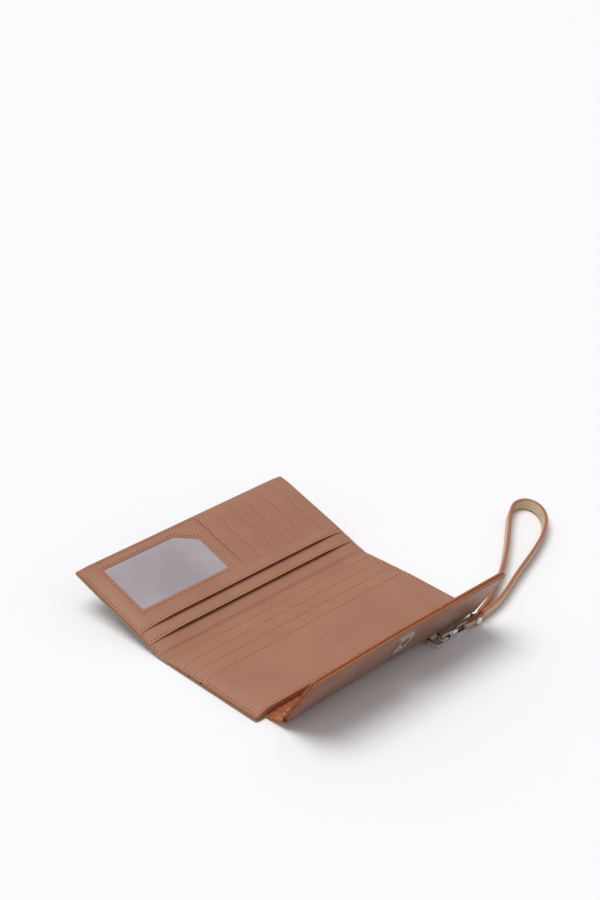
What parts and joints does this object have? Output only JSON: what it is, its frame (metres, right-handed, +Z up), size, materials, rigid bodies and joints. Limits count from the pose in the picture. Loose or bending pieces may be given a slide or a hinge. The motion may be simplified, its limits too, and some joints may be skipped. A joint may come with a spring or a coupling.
{
  "type": "long wallet",
  "caption": "Long leather wallet that folds once, with card slots, a window pocket, bill pockets, a closing flap with a turn lock, and a wrist strap on a swivel hook.",
  "frame": {"origin": "middle of the card panel's underside, on the surface the wallet lies on", "axes": "+X along the wallet towards the wrist strap, +Y from the flap towards the folding leaf, +Z up"},
  "size_m": [0.3298, 0.2314, 0.0532],
  "materials": {
    "khaki_leather": "khaki grained leather, satin",
    "brown_leather": "smooth fine-grained brown leather",
    "flap_leather": "glossy pebble-grained brown leather",
    "croc_leather": "orange-brown embossed leather",
    "board": "stiffening board",
    "film": "clear window film over grey backing",
    "metal": "polished silver-coloured metal",
    "steel": "plain steel"
  },
  "bodies": {
    "back": {"shell_back": "khaki_leather", "back_board": "board", "back_lining": "brown_leather", "full_pocket": "brown_leather", "card_row_rear": "brown_leather", "card_row_middle": "brown_leather", "card_row_front": "brown_leather", "fold_leather": "khaki_leather", "fold_lining": "brown_leather", "front_fold": "khaki_leather"},
    "leaf": {"shell_leaf": "khaki_leather", "leaf_board": "board", "leaf_lining": "brown_leather", "bill_pocket": "brown_leather", "id_panel": "brown_leather", "id_window": "film", "leaf_card_1": "brown_leather", "leaf_card_2": "brown_leather", "leaf_card_3": "brown_leather", "leaf_card_4": "brown_leather", "leaf_card_5": "brown_leather", "leaf_card_6": "brown_leather", "lock_base": "metal", "lock_washer": "steel"},
    "knob": {"lock_knob": "metal"},
    "spine": {"spine_outer": "khaki_leather", "spine_board": "board", "spine_lining": "croc_leather", "ring_tab": "khaki_leather"},
    "flap": {"flap_outer": "flap_leather", "flap_board": "board", "flap_lining": "brown_leather", "lock_plate": "metal", "lock_backplate": "metal"},
    "ring": {"strap_ring": "metal"},
    "hook": {"hook_body": "metal", "gate_pin": "steel"},
    "gate": {"hook_gate": "metal"},
    "swivel": {"swivel_eye": "metal", "strap_loop": "khaki_leather", "strap_rivet": "metal", "wrist_strap": "khaki_leather"}
  },
  "joints": [
    {"name": "leaf_fold", "type": "hinge", "parent": "back", "child": "leaf", "pos_m": [0, 0.0495, 0.0063], "axis": [1, 0, 0], "range_deg": [-16.3, 163.7]},
    {"name": "lock_turn", "type": "hinge", "parent": "leaf", "child": "knob", "pos_m": [0, 0.11308, 0.01833], "axis": [0, 0.2807, -0.9598], "range_deg": [0, 90]},
    {"name": "spine_fold", "type": "hinge", "parent": "back", "child": "spine", "pos_m": [0, -0.0464, 0.0014], "axis": [-1, 0, 0], "range_deg": [0, 66]},
    {"name": "flap_fold", "type": "hinge", "parent": "spine", "child": "flap", "pos_m": [0, -0.06029, 0.00758], "axis": [-1, 0, 0], "range_deg": [-10, 55.8]},
    {"name": "ring_swing", "type": "hinge", "parent": "spine", "child": "ring", "pos_m": [0.05, -0.06, 0.0037], "axis": [-1, 0, 0], "range_deg": [-45, 0]},
    {"name": "hook_swing", "type": "hinge", "parent": "ring", "child": "hook", "pos_m": [0.0549, -0.0652, 0.0037], "axis": [0, 1, 0], "range_deg": [0, 90]},
    {"name": "hook_gate", "type": "hinge", "parent": "hook", "child": "gate", "pos_m": [0.06165, -0.0652, 0.0011], "axis": [0, 1, 0], "range_deg": [0, 12], "stiffness_Nm_per_rad": 0.002, "springref_deg": -11.46},
    {"name": "hook_swivel", "type": "hinge", "parent": "hook", "child": "swivel", "pos_m": [0.0652, -0.0652, 0.0037], "axis": [1, 0, 0], "continuous": true}
  ]
}
